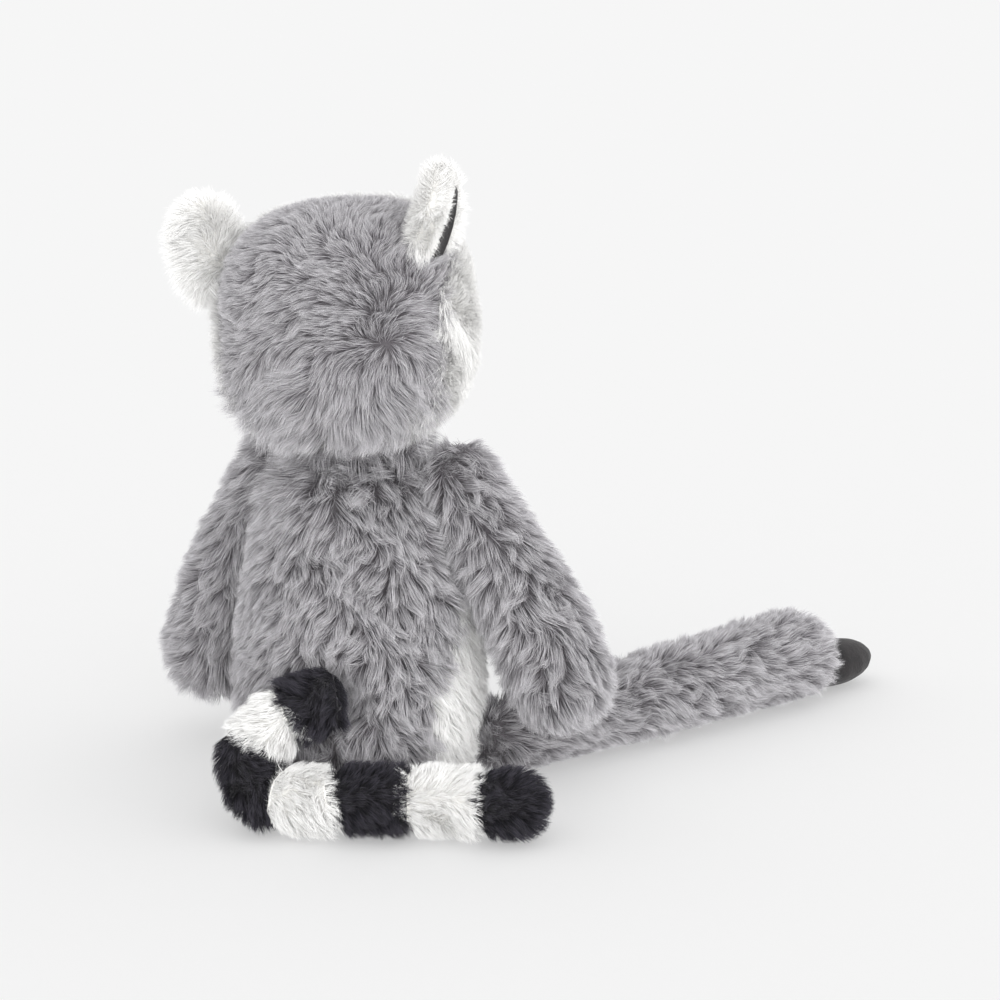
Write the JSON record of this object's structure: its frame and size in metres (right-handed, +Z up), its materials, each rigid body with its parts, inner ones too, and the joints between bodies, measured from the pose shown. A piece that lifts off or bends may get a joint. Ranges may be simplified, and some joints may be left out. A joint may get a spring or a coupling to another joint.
{
  "type": "plush lemur toy",
  "caption": "Sitting long-limbed plush lemur with grey pile, a white face and belly, and a black and white ringed tail.",
  "frame": {"origin": "centre of the flat underside of the seat", "axes": "+Z up, the toy faces -Y, its right side is at -X"},
  "size_m": [0.2511, 0.3114, 0.2494],
  "materials": {
    "grey_plush": "combed long pile",
    "white_plush": "long pile",
    "black_plush": "long pile",
    "black_velour": "short smooth pile",
    "filling": "loose fibre filling",
    "pellet_bag": "woven bag of pellets",
    "black_plastic": "polished",
    "washer_plastic": "moulded"
  },
  "bodies": {
    "torso": {"back_panel": "grey_plush", "belly_panel": "white_plush", "seat_panel": "grey_plush", "torso_stuffing": "filling", "seat_pellet_bag": "pellet_bag"},
    "neck": {"neck_stuffing": "filling"},
    "head": {"head_left_panel": "grey_plush", "head_right_panel": "grey_plush", "face_panel": "white_plush", "head_stuffing": "filling", "muzzle_panel": "white_plush", "nose": "black_plastic", "eye_patch_left": "black_plush", "eye_left": "black_plastic", "eye_washer_left": "washer_plastic", "eye_patch_right": "black_plush", "eye_right": "black_plastic", "eye_washer_right": "washer_plastic"},
    "ear_left": {"ear_left_back": "white_plush", "ear_left_lining": "black_velour"},
    "ear_right": {"ear_right_back": "white_plush", "ear_right_lining": "black_velour"},
    "arm_left": {"arm_left_sleeve": "grey_plush", "arm_left_stuffing": "filling", "palm_left": "black_velour"},
    "arm_right": {"arm_right_sleeve": "grey_plush", "arm_right_stuffing": "filling", "palm_right": "black_velour"},
    "leg_left": {"leg_left_sleeve": "grey_plush", "leg_left_stuffing": "filling", "foot_left": "black_velour"},
    "leg_right": {"leg_right_sleeve": "grey_plush", "leg_right_stuffing": "filling", "foot_right": "black_velour"},
    "tail_base": {"tail_ring_1": "black_plush", "tail_stuffing_1": "filling", "tail_ring_2": "white_plush", "tail_stuffing_2": "filling", "tail_ring_3": "black_plush", "tail_stuffing_3": "filling"},
    "tail_4": {"tail_ring_4": "white_plush", "tail_stuffing_4": "filling"},
    "tail_5": {"tail_ring_5": "black_plush", "tail_stuffing_5": "filling"},
    "tail_6": {"tail_ring_6": "white_plush", "tail_stuffing_6": "filling"},
    "tail_7": {"tail_ring_7": "black_plush", "tail_stuffing_7": "filling"}
  },
  "joints": [
    {"name": "neck_turn", "type": "hinge", "parent": "torso", "child": "neck", "pos_m": [0, 0, 0.138], "axis": [0, 0, 1], "range_deg": [-30, 30]},
    {"name": "head_nod", "type": "hinge", "parent": "neck", "child": "head", "pos_m": [0, 0, 0.138], "axis": [0.9707, 0.225, -0.0849], "range_deg": [-12, 12]},
    {"name": "ear_left_fold", "type": "hinge", "parent": "head", "child": "ear_left", "pos_m": [0.0454, 0.0132, 0.2079], "axis": [-0.3143, -0.3804, 0.8698], "range_deg": [-10, 10], "stiffness_Nm_per_rad": 0.02},
    {"name": "ear_right_fold", "type": "hinge", "parent": "head", "child": "ear_right", "pos_m": [-0.0308, 0.00415, 0.2244], "axis": [0.0039, 0.9347, -0.3554], "range_deg": [-10, 10], "stiffness_Nm_per_rad": 0.02},
    {"name": "shoulder_left", "type": "hinge", "parent": "torso", "child": "arm_left", "pos_m": [0.038, -0.009, 0.125], "axis": [1, 0, 0], "range_deg": [-35, 10]},
    {"name": "shoulder_right", "type": "hinge", "parent": "torso", "child": "arm_right", "pos_m": [-0.038, -0.009, 0.125], "axis": [1, 0, 0], "range_deg": [-35, 10]},
    {"name": "hip_left", "type": "hinge", "parent": "torso", "child": "leg_left", "pos_m": [0.042, -0.034, 0.0165], "axis": [0, 0, 1], "range_deg": [-15, 15]},
    {"name": "hip_right", "type": "hinge", "parent": "torso", "child": "leg_right", "pos_m": [-0.052, -0.024, 0.0165], "axis": [0, 0, 1], "range_deg": [-5, 15]},
    {"name": "tail_root", "type": "hinge", "parent": "torso", "child": "tail_base", "pos_m": [-0.015, 0.048, 0.047], "axis": [0, 0, 1], "range_deg": [-6, 6]},
    {"name": "tail_seam_3", "type": "hinge", "parent": "tail_base", "child": "tail_4", "pos_m": [-0.00229, 0.0737, 0.01561], "axis": [0, 0, 1], "range_deg": [-4, 4]},
    {"name": "tail_seam_4", "type": "hinge", "parent": "tail_4", "child": "tail_5", "pos_m": [-0.02382, 0.06678, 0.0148], "axis": [0, 0, 1], "range_deg": [-8, 6]},
    {"name": "tail_seam_5", "type": "hinge", "parent": "tail_5", "child": "tail_6", "pos_m": [-0.04895, 0.05597, 0.01522], "axis": [0, 0, 1], "range_deg": [-8, 8]},
    {"name": "tail_seam_6", "type": "hinge", "parent": "tail_6", "child": "tail_7", "pos_m": [-0.07445, 0.04602, 0.0152], "axis": [0, 0, 1], "range_deg": [-8, 8]}
  ]
}
